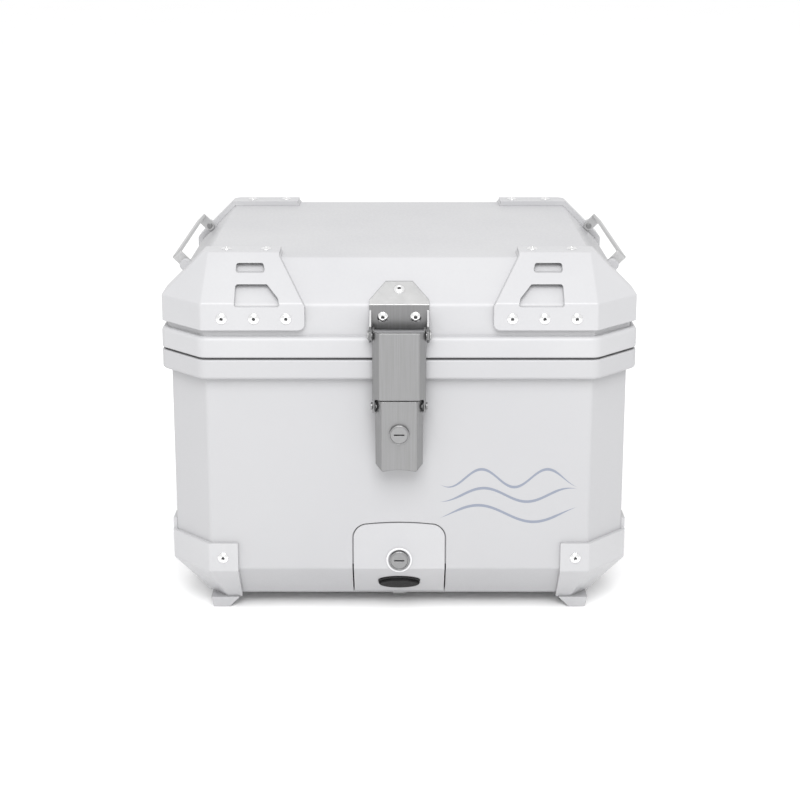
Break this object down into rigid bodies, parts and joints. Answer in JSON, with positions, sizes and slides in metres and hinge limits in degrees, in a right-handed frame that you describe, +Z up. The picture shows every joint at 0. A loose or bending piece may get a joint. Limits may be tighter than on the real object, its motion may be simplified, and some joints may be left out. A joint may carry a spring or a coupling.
{
  "type": "motorcycle top case",
  "caption": "Octagonal hard top case with a hinged lid, corner guards, over-lid latch with key lock, folding side handles and a push-button carrier release.",
  "frame": {"origin": "under the middle of the case, on the plane its feet stand on", "axes": "+Z up, +Y to the hinge side, -Y to the latch side"},
  "size_m": [0.432, 0.4236, 0.3408],
  "materials": {
    "white_shell": "fine satin moulded texture",
    "white_guard": "smooth satin moulded",
    "stainless": "brushed stainless",
    "rivet_metal": "bright aluminium blind rivet",
    "lock_metal": "satin nickel",
    "zinc_steel": "zinc plated",
    "black_gloss": "glossy black",
    "black_matte": "matt black moulded",
    "seal_rubber": "matt sponge rubber",
    "mat_rubber": "ribbed soft mat"
  },
  "bodies": {
    "body": {"body_shell": "white_shell", "release_panel": "white_shell", "button_bezel": "black_gloss", "release_housing": "black_matte", "hook_pin": "zinc_steel", "housing_screws": "zinc_steel", "hook_spring": "zinc_steel", "release_lock_barrel": "lock_metal", "release_lock_nut": "lock_metal", "body_guard_front_left": "white_guard", "body_guard_front_right": "white_guard", "body_guard_rear_left": "white_guard", "body_guard_rear_right": "white_guard", "body_guard_rivets": "rivet_metal", "latch_keeper": "stainless", "keeper_rivets": "rivet_metal", "hinge_body_leaf_left": "zinc_steel", "hinge_body_leaf_right": "zinc_steel", "hinge_body_screws": "zinc_steel", "hinge_pin_left": "zinc_steel", "hinge_pin_right": "zinc_steel", "floor_mat": "mat_rubber", "carrier_hook_left": "zinc_steel", "carrier_hook_right": "zinc_steel"},
    "lid": {"lid_shell": "white_shell", "lid_guard_front_left": "white_guard", "lid_guard_front_right": "white_guard", "lid_guard_rear_left": "white_guard", "lid_guard_rear_right": "white_guard", "lid_guard_rivets": "rivet_metal", "lid_seal": "seal_rubber", "latch_bracket": "stainless", "bracket_rivets": "rivet_metal", "arm_pin": "stainless", "hinge_lid_leaf_left": "zinc_steel", "hinge_lid_leaf_right": "zinc_steel", "hinge_lid_screws": "zinc_steel", "handle_lugs_left": "white_guard", "handle_lugs_right": "white_guard", "handle_pins_left": "stainless", "handle_pins_right": "stainless"},
    "latch_arm": {"latch_arm": "stainless", "lever_pin": "stainless"},
    "latch_lever": {"latch_lever": "stainless", "latch_lock_barrel": "lock_metal", "latch_lock_nut": "lock_metal"},
    "latch_key_plug": {"latch_lock_plug": "lock_metal"},
    "release_button": {"release_button": "black_gloss"},
    "release_hook": {"release_hook": "zinc_steel"},
    "release_key_plug": {"release_lock_plug": "lock_metal"},
    "handle_left": {"side_handle_left": "stainless"},
    "handle_right": {"side_handle_right": "stainless"}
  },
  "joints": [
    {"name": "lid_hinge", "type": "hinge", "parent": "body", "child": "lid", "pos_m": [0, 0.2068, 0.251], "axis": [-1, 0, 0], "range_deg": [0, 95]},
    {"name": "arm_hinge", "type": "hinge", "parent": "lid", "child": "latch_arm", "pos_m": [0, -0.2017, 0.275], "axis": [-1, 0, 0], "range_deg": [0, 110]},
    {"name": "lever_hinge", "type": "hinge", "parent": "latch_arm", "child": "latch_lever", "pos_m": [0, -0.2017, 0.2103], "axis": [-1, 0, 0], "range_deg": [0, 90]},
    {"name": "latch_key", "type": "hinge", "parent": "latch_lever", "child": "latch_key_plug", "pos_m": [0, -0.2084, 0.186], "axis": [0, -1, 0], "range_deg": [0, 90]},
    {"name": "release_key", "type": "hinge", "parent": "body", "child": "release_key_plug", "pos_m": [0, -0.1857, 0.058], "axis": [0, 1, 0], "range_deg": [0, 90]},
    {"name": "button_slide", "type": "slide", "parent": "body", "child": "release_button", "axis": [0, 0.7682, 0.6402], "range_m": [0, 0.006], "stiffness_N_per_m": 900, "springref_m": -0.002},
    {"name": "hook_swing", "type": "hinge", "parent": "body", "child": "release_hook", "pos_m": [0, -0.1367, 0.027], "axis": [-1, 0, 0], "range_deg": [0, 16.2]},
    {"name": "handle_left_fold", "type": "hinge", "parent": "lid", "child": "handle_left", "pos_m": [-0.19992, 0.0063, 0.317], "axis": [0, 1, 0], "range_deg": [0, 80]},
    {"name": "handle_right_fold", "type": "hinge", "parent": "lid", "child": "handle_right", "pos_m": [0.19992, 0.0063, 0.317], "axis": [0, -1, 0], "range_deg": [0, 80]}
  ],
  "couplings": [
    {"joint": "hook_swing", "follows": "button_slide", "rad_per_m": 46.5}
  ]
}
